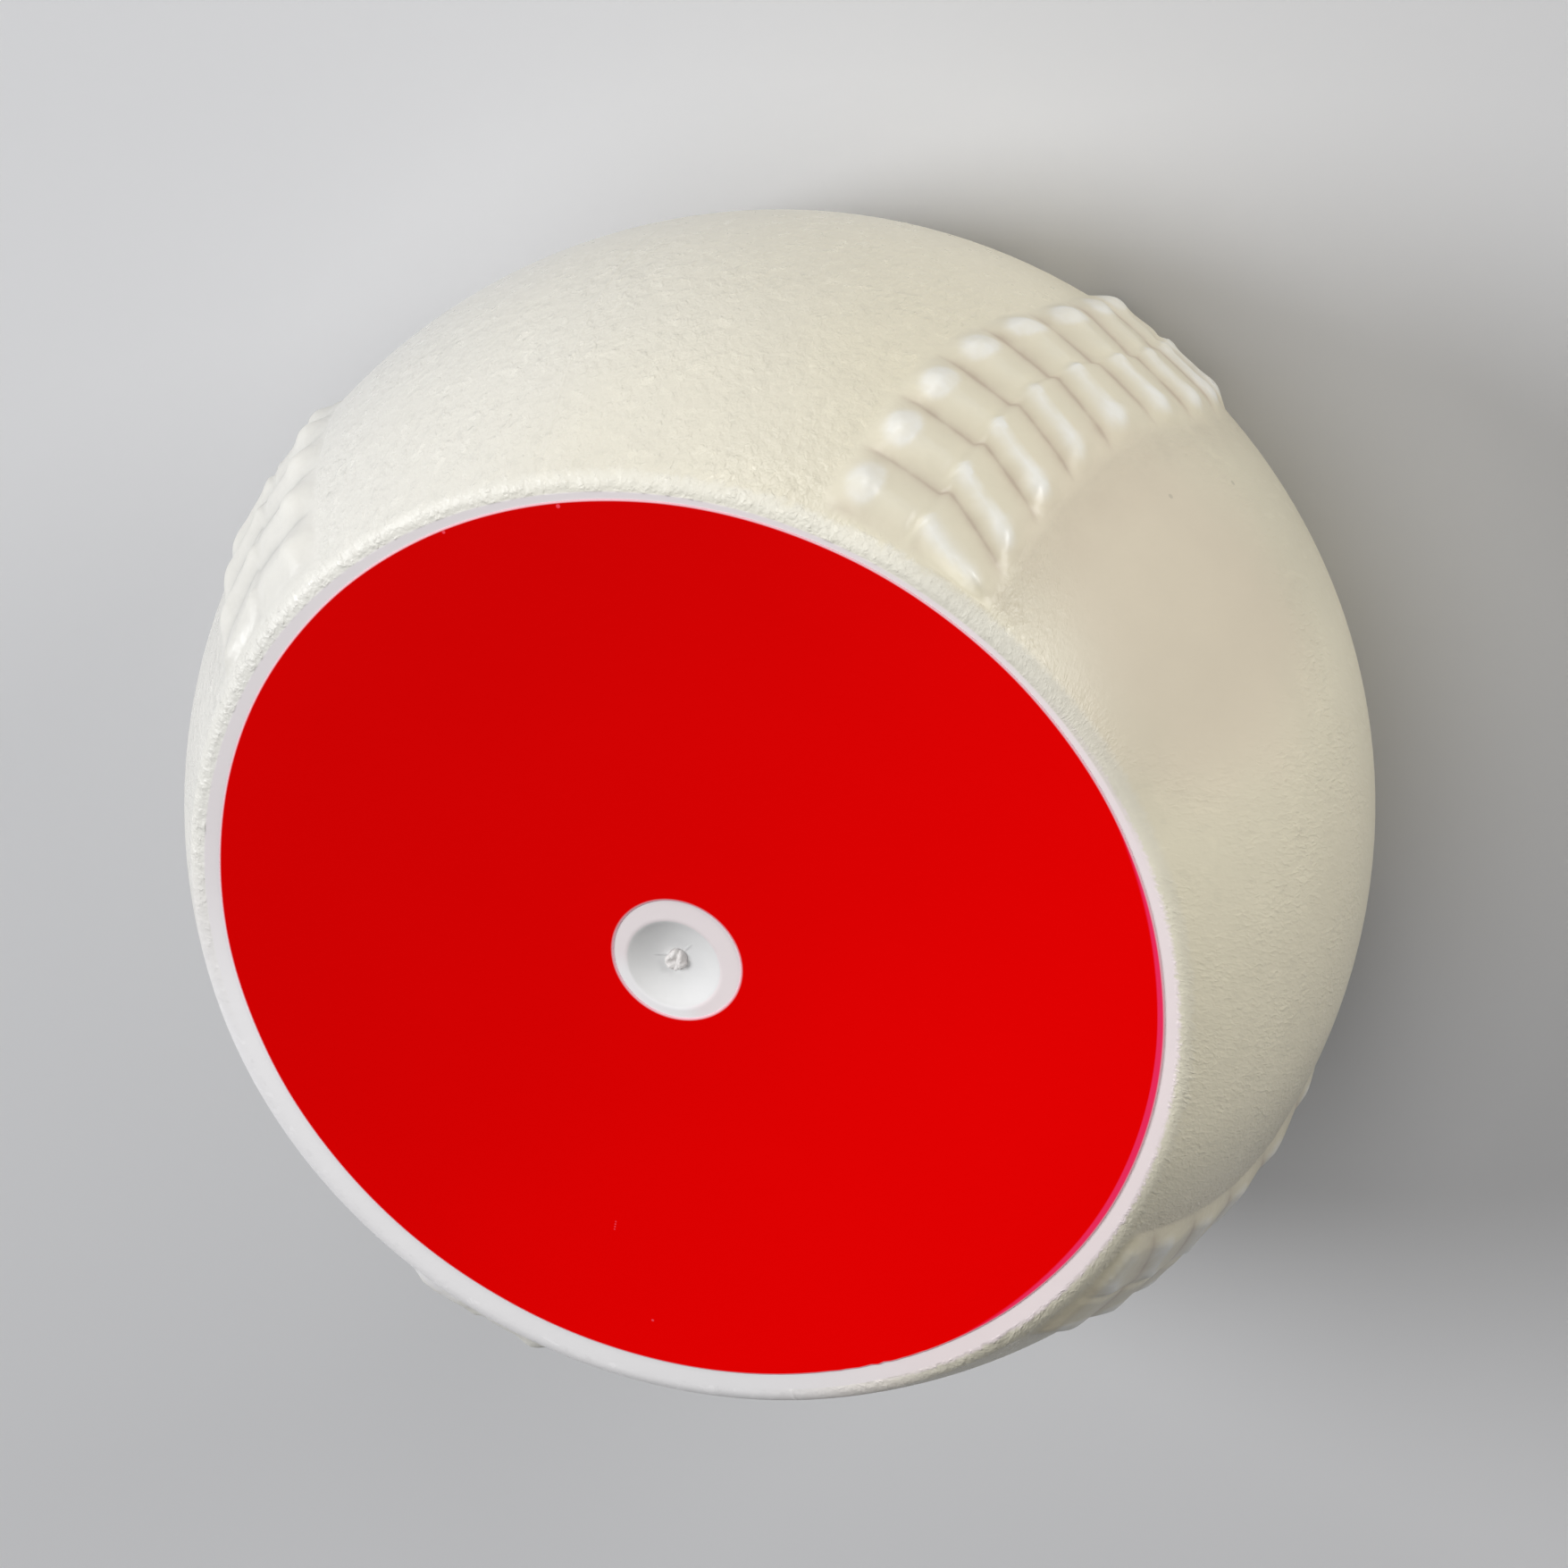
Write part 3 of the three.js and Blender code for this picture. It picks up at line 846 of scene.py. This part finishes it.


# Uneven painted sheen and shade on the stitches, painted sheen on the rim, flow lines in the dimple, and
# specks
def addWearShadeAndSheen(tree, at, look, places):
    at.uneven = groupField(tree, toneDrift, at.place, Scale=look["unevenScale"])
    at.unevenSeam = at.uneven * at.seamZone
    at.raised = at.raised * (1.0 + at.uneven * look["uneven"])
    at.agedRaised = at.raised * at.aged
    at.hollow = at.hollow * (1.0 - at.uneven * look["uneven"])
    at.fuzzy = at.height.op("ABSOLUTE") + at.pebble * lerp(*places["rimFuzz"], at.calm)
    # the rim's painted sheen, with a ragged edge
    at.rim = ramp(at.fuzzy, places["rim"]) * (1.0 - at.farSide * places["rimFarLess"])
    first, second = (flowMask(at.x, at.y, *line) * strength for *line, strength in look["flowLines"])
    at.flow = first.op("MAXIMUM", second)
    mottle = groupField(tree, toneDrift, at.place, Scale=look["mottleScale"])
    at.mottle = mottle * (1.0 - at.flat) * (1.0 - at.patch * look["mottlePatchLess"])
    at.specks = groupField(tree, fineSpecks, at.place, **look["specks"]) * (1.0 - at.flat)


def leatherColour(tree, at, colours, places, wearAndLight):
    yellowed = colourMix(tree, at.pink, colours["agedCream"], colours["pinkCream"])
    colour = colourMix(tree, at.aged, colours["paleCream"], yellowed)
    # painted sheen on the stitches' raised parts and on the rim
    stitchSheen = at.raised * lerp(*wearAndLight["stitchSheen"], at.aged)
    rimSheen = at.rim * lerp(*wearAndLight["rimSheen"], at.aged)
    colour = colourMix(tree, stitchSheen.op("MAXIMUM", rimSheen), colour, colours["sheenCream"])
    # painted shade in the creases and beside the right row's outer ends
    crease = colourMix(tree, at.aged, colours["paintedCreaseGrey"], colours["paintedCreaseBrown"])
    colour = colourMix(tree, at.hollow * wearAndLight["crease"], colour, crease)
    # painted light across the flat ring: shaded on one side, lit on the other and on the low side
    ring = colourMix(tree, ramp(at.x, places["ringSides"]), colours["faceShadedGrey"], colours["faceLitWhite"])
    ring = colourMix(tree, at.lowSide, ring, colours["faceLitLow"])
    lowRim = ramp(at.fuzzy, places["lowRim"]) * at.lowSide
    farRim = ramp(at.level - at.pebble * places["farRimFuzz"], places["farRim"]) * at.farSide
    colour = colourMix(tree, at.flat.op("MAXIMUM", lowRim.op("MAXIMUM", farRim)), colour, ring)
    return colourMix(tree, ramp(at.level, places["dimple"]), colour, colours["bowlWhite"])


def leatherTone(at, shares, wearAndLight):
    tone = 1.0 + weighted(at, shares)
    # painted light and painted shade on whole sides of the cover
    for azimuth, start, change, stitches in wearAndLight["paintedLightSides"]:
        taken = (1.0 - at.seamZone * (1.0 - stitches)) * (1.0 - at.flat)
        tone = tone + ramp(at.towards(azimuth), (start, wearAndLight["paintedLightMiddle"])) * taken * change
    for azimuth, latitude in wearAndLight["scuffs"]:
        scuff = spotMask((at.x, at.y, at.height), pointOnBall(azimuth, latitude), wearAndLight["scuffSize"])
        tone = tone + scuff * wearAndLight["scuffTone"]
    return tone


def leatherRelief(at, shares, grain):
    parting = hump(at.x + at.y, grain["partingWidth"]) * at.plainSide
    at.lines = (parting + at.flow) * (grain["lineHeight"] / grain["height"])
    return weighted(at, shares["grain"]) * at.grainShare + weighted(at, shares["relief"])


def leatherMaterial(colours, places, grain, wearAndLight, shares):
    material, tree, shader = newFinish("creamElastomer")
    at = leatherZones(tree, places)
    addGrain(tree, at, grain)
    addWearShadeAndSheen(tree, at, wearAndLight, places)
    colour = leatherColour(tree, at, colours, places, wearAndLight)
    feedAll(tree, shader, {
        "Base Color": shade(tree, colour, leatherTone(at, shares["tone"], wearAndLight)),
        "Normal": bumpNormal(tree, leatherRelief(at, shares, grain), grain["height"]),
        "Roughness": shares["plainRoughness"] + weighted(at, shares["roughness"]),
        "Specular IOR Level": shares["specular"],
    })
    return material


leather = leatherMaterial(leatherColours, leatherPlaces, leatherGrain, leatherWearAndPaintedLight, leatherShares)
quarterTree = seamQuarterTree(coverSizes, coverMesh, stitchBlend, stitchShadeAndSheen)
cover = grownFromTree(
    "ball_cover", coverTree(coverSizes, coverMesh, stitchBlend, quarterTree),
    {**coverSizes, "Centre Height": ballCentre, "Material": leather},
)
lineCover(cover)
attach(cover, "root")
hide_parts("cover")
print("cover grown:", len(cover.data.polygons), "faces")


def ringMesh(name, rings, segments, closed):
    points = [point for ring in rings for point in ring]
    faces = []
    for row in range(len(rings) if closed else len(rings) - 1):
        here, there = row * segments, (row + 1) % len(rings) * segments
        for column in range(segments):
            after = (column + 1) % segments
            faces.append((here + column, here + after, there + after, there + column))
    mesh = bpy.data.meshes.new(name)
    mesh.from_pydata(points, [], faces)
    return mesh


def finishMesh(mesh, sharpDegrees=None):
    weld = 0.0005 * mm
    work = bmesh.new()
    work.from_mesh(mesh)
    bmesh.ops.remove_doubles(work, verts=work.verts, dist=weld)
    bmesh.ops.recalc_face_normals(work, faces=work.faces)
    for face in work.faces:
        face.smooth = True
    if sharpDegrees is not None:
        for edge in work.edges:
            edge.smooth = edge.calc_face_angle(0.0) < math.radians(sharpDegrees)
    work.to_mesh(mesh)
    work.free()


# The core's plain moulding, torn at the tips
coreFinish = {
    "white": (0.80, 0.785, 0.77),
    "pink": (0.78, 0.735, 0.715),
    "driftScale": 900.0,
    "tearScale": 3200.0,
    "tearWrinkle": 0.9,
    "tearHeight": 0.04 * mm,
    "roughness": (0.34, 0.2),  # plain, and added where the tear is high
}


def coreMaterial(look):
    material, tree, shader = newFinish("naturalMoulding")
    place = objectPlace(tree)[0]
    tear = groupField(tree, mouldGrain, place, Scale=look["tearScale"], Wrinkle=look["tearWrinkle"])
    drift = groupField(tree, toneDrift, place, Scale=look["driftScale"])
    plain, added = look["roughness"]
    feedAll(tree, shader, {
        "Base Color": colourMix(tree, smooth(drift * 0.5 + 0.5), look["white"], look["pink"]),
        "Roughness": plain + tear * added,
        "Normal": bumpNormal(tree, tear, look["tearHeight"]),
    })
    return material


def coreRing(level, height, end, rough=0.0):
    size = coreSizes
    floor = coverSizes["Half Width"] - coverSizes["Dimple Depth"]
    leaning = max(0.0, (height - floor) / size["leanRise"])
    leanX, leanY = (part * leaning for part in size["lean"])
    fineScale, fineShare = size["fineTear"]
    points = []
    for step in range(size["segments"]):
        angle = 2 * math.pi * step / size["segments"]
        x, y = level * math.cos(angle), level * math.sin(angle)
        place = Vector((x, y, end * size["endsApart"])) * size["tearScale"] / mm
        torn = noise.noise(place) + fineShare * noise.noise(place * fineScale)
        wide = noise.noise(place * size["spreadScale"] + Vector(size["spreadShift"]))
        spread = 1.0 + size["spread"] * rough * wide
        lifted = height + rough * size["tear"] * torn
        points.append((x * spread + leanX, y * spread + leanY, ballCentre + end * lifted))
    return points


def makeCore():
    floor = coverSizes["Half Width"] - coverSizes["Dimple Depth"]
    tip = [(level * mm, floor + rise * mm) for level, rise in coreSizes["tip"]]
    middle = tip[-1][1]

    def tipRings(end):
        torn = [coreRing(level, height, end, 1.0 if height > tip[0][1] else 0.0) for level, height in tip]
        return torn + [coreRing(0.0, middle, end)]

    body = [coreRing(level, height, 1.0) for level, height in coreRings(0.0)]
    rings = tipRings(1.0)[::-1] + body + tipRings(-1.0)
    mesh = ringMesh("ball_core", rings, coreSizes["segments"], False)
    finishMesh(mesh)
    mesh.materials.append(coreMaterial(coreFinish))
    core = addObject("ball_core", mesh)
    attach(core, "root")
    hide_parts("core")
    return core


core = makeCore()
print("core made:", len(core.data.polygons), "faces")


# Labels: thin red film with a hand-cut edge, lifting a little where the face rounds off; sizes in mm
labelSizes = {
    "radius": 28.65,
    "hole": 3.85,
    "thickness": {"front_label": 0.07, "rear_label": 0.2},
    "shift": {"front_label": -0.45, "rear_label": 0.0},
    "edge": 0.05,
    "segments": 420,
    "insideRings": (0.17, 0.3, 2.0, 6.0, 10.0, 14.0, 18.0, 21.0),  # outwards from the hole
    "rimRings": (1.6, 1.2, 0.9, 0.7, 0.5, 0.35, 0.2, 0.13),  # inwards from the rim
    "onRim": -1e-6,
    "endsApart": 5.0,  # so that the two labels' edges differ
    "wobble": 0.035,
    "wobbleScale": 4.0,
    "ragged": 0.09,
    "raggedScale": 55.0,
    "raggedAt": (147.0, 6.0),  # azimuth and half width in degrees
    "lift": 0.02,
    "liftWidth": 0.62,
    "liftAt": (198.0, 36.0),
    "sharpDegrees": 50.0,
}
filmFinish = {
    # painted light across the film: shaded red on one side, lit red on the other
    "shadeRed": (0.675, 0.0, 0.0),
    "litRed": (0.91, 0.0, 0.0),
    # painted glare on the edge where it lifts
    "curlGlarePink": (0.97, 0.03, 0.12),
    "markRed": (0.92, 0.07, 0.11),
    "cutPink": (0.86, 0.50, 0.56),
    "curl": (0.20, 0.34),
    "driftScale": 38.0,
    "litDrift": 0.12,
    "peelScale": 700.0,
    "peelWrinkle": 0.9,
    "peelHeight": 0.006 * mm,
    "specks": {"Scale": 140.0, "Amount": 0.018, "Size": 0.07},
    # place and size in mm of three nicks, and of a row that makes a short scratch
    "nicks": ((19.76, -20.81, 0.13), (24.34, -15.18, 0.11), (-11.58, 22.51, 0.10), (-6.20, 17.88, 0.08),
              (-6.27, 18.05, 0.08), (-6.34, 18.22, 0.08), (-6.41, 18.40, 0.08)),
    "roughness": 0.36,
    "driftRoughness": 0.05,
    "speckRoughness": 0.2,
    "specular": 0.05,
}


def labelMaterial(look):
    material, tree, shader = newFinish("redFilm")
    place, (x, y, z) = objectPlace(tree)
    drift = groupField(tree, toneDrift, place, Scale=look["driftScale"])
    peel = groupField(tree, mouldGrain, place, Scale=look["peelScale"], Wrinkle=look["peelWrinkle"])
    specks = groupField(tree, fineSpecks, place, **look["specks"])
    # painted light: the red is lighter towards one side
    across = x / (labelSizes["radius"] * mm)
    redLight = smooth(0.5 - across * 0.5 + drift * look["litDrift"])
    colour = colourMix(tree, redLight, look["shadeRed"], look["litRed"])
    # painted glare where the film's edge lifts
    colour = colourMix(tree, ramp(attributeField(tree, "curl"), look["curl"]), colour, look["curlGlarePink"])
    marks = specks
    for markX, markY, width in look["nicks"]:
        spot = (markX * mm, markY * mm, ballCentre + coverSizes["Half Width"])
        marks = marks.op("MAXIMUM", spotMask((x, y, z), spot, width * mm))
    colour = colourMix(tree, marks, colour, look["markRed"])
    colour = colourMix(tree, attributeField(tree, "cutEdge"), colour, look["cutPink"])
    feedAll(tree, shader, {
        "Base Color": colour,
        "Roughness": look["roughness"] + drift * look["driftRoughness"] + specks * look["speckRoughness"],
        "Normal": bumpNormal(tree, peel, look["peelHeight"]),
        "Specular IOR Level": look["specular"],
    })
    return material


def bell(angle, centre, half):
    apart = (angle - centre + 180.0) % 360.0 - 180.0
    return math.exp(-(apart / half) ** 2)


# Each ring: distance from the middle, or from the rim where negative, its height, and whether it is cut
def labelProfile(size, thickness):
    hole, edge, onRim = size["hole"], size["edge"], size["onRim"]
    profile = [(hole, 0.0, True), (hole, thickness - edge, True), (hole + edge, thickness, True)]
    profile += [(hole + step, thickness, False) for step in size["insideRings"]]
    profile += [(-gap, thickness, False) for gap in size["rimRings"]]
    profile += [(-edge, thickness, True), (onRim, thickness - edge, True), (onRim, 0.0, True)]
    return profile + [(-gap, 0.0, False) for gap in reversed(size["rimRings"])]


def makeLabel(name, size, material):
    end = 1.0 if name == "front_label" else -1.0
    face = coverSizes["Half Width"]
    segments = size["segments"]
    rings, curls, cuts = [], [], []
    for level, height, isCut in labelProfile(size, size["thickness"][name]):
        ring = []
        for step in range(segments):
            degrees = 360.0 * step / segments
            angle = math.radians(degrees)
            around = Vector((math.cos(angle), math.sin(angle), end * size["endsApart"]))
            ragged = size["ragged"] * bell(degrees, *size["raggedAt"])
            rim = size["radius"] + size["wobble"] * noise.noise(around * size["wobbleScale"])
            rim += ragged * noise.noise(around * size["raggedScale"])
            radius = level if level > 0 else rim + level
            lifting = bell(degrees, *size["liftAt"])
            curl = max(0.0, 1.0 - (rim - radius) / size["liftWidth"])
            lift = size["lift"] * lifting * curl ** 2 if end > 0 else 0.0
            curls.append(lifting * curl)
            cuts.append(1.0 if isCut else 0.0)
            ring.append((
                radius * math.cos(angle) * mm,
                (radius * math.sin(angle) + size["shift"][name]) * mm,
                ballCentre + end * (face + (height + lift) * mm),
            ))
        rings.append(ring)
    mesh = ringMesh("ball_" + name, rings, segments, True)
    for key, values in (("curl", curls), ("cutEdge", cuts)):
        mesh.attributes.new(key, "FLOAT", "POINT").data.foreach_set("value", values)
    finishMesh(mesh, size["sharpDegrees"])
    mesh.materials.append(material)
    label = addObject("ball_" + name, mesh)
    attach(label, "root")
    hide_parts(name)
    return label


redFilm = labelMaterial(filmFinish)
for labelName in ("front_label", "rear_label"):
    label = makeLabel(labelName, labelSizes, redFilm)
    print("label made:", label.name, len(label.data.polygons), "faces")


# Plain pale floor and soft light
studio = {
    "floorColour": (0.63, 0.63, 0.64),
    "floorSide": 4.0,
    "floorDrift": (3.0, 0.01),  # scale and strength
    "floorRoughness": 0.85,
    "floorSpecular": 0.2,
    "worldColour": (0.012, 0.012, 0.012),
    "lamps": (  # name, place, size in metres, power, colour
        ("sideLamp", (0.4443, 0.1617, 0.3901), 0.30, 2.62, (0.99, 1.0, 1.015)),
        ("frontLamp", (-0.1991, -0.5469, 0.1659), 0.24, 1.62, (1.01, 1.0, 0.985)),
        ("sheenLamp", (0.3196, -0.4922, 0.1454), 0.14, 0.42, (1.0, 1.0, 1.0)),
        ("topLamp", (0.0624, -0.1080, 0.6076), 0.40, 1.17, (1.0, 1.0, 1.0)),
    ),
}


def floorMaterial(setup):
    material, tree, shader = newFinish("paleFloor")
    scale, strength = setup["floorDrift"]
    drift = groupField(tree, toneDrift, objectPlace(tree)[0], Scale=scale)
    feedAll(tree, shader, {
        "Base Color": shade(tree, (*setup["floorColour"], 1.0), 1.0 + drift * strength),
        "Roughness": setup["floorRoughness"],
        "Specular IOR Level": setup["floorSpecular"],
    })
    return material


def addFloor(setup):
    side = setup["floorSide"]
    corners = [(-side, -side, 0), (side, -side, 0), (side, side, 0), (-side, side, 0)]
    mesh = bpy.data.meshes.new("floor")
    mesh.from_pydata(corners, [], [(0, 1, 2, 3)])
    mesh.materials.append(floorMaterial(setup))
    floor = addObject("floor", mesh)


def addLamps(lamps):
    for name, position, size, power, colour in lamps:
        data = bpy.data.lights.new(name, "AREA")
        data.shape = "DISK"
        data.size = size
        data.energy = power
        data.color = colour
        lamp = addObject(name, data)
        aim = Vector((0, 0, ballCentre)) - Vector(position)
        lamp.matrix_world = Matrix.Translation(position) @ aim.to_track_quat("-Z", "Y").to_matrix().to_4x4()


def addWorld(colour):
    world = bpy.data.worlds.new("studio")
    world.use_nodes = True
    world.node_tree.nodes["Background"].inputs["Color"].default_value = (*colour, 1)
    bpy.context.scene.world = world
    bpy.context.scene.view_settings.view_transform = "Standard"


addFloor(studio)
addLamps(studio["lamps"])
addWorld(studio["worldColour"])
print("studio set")
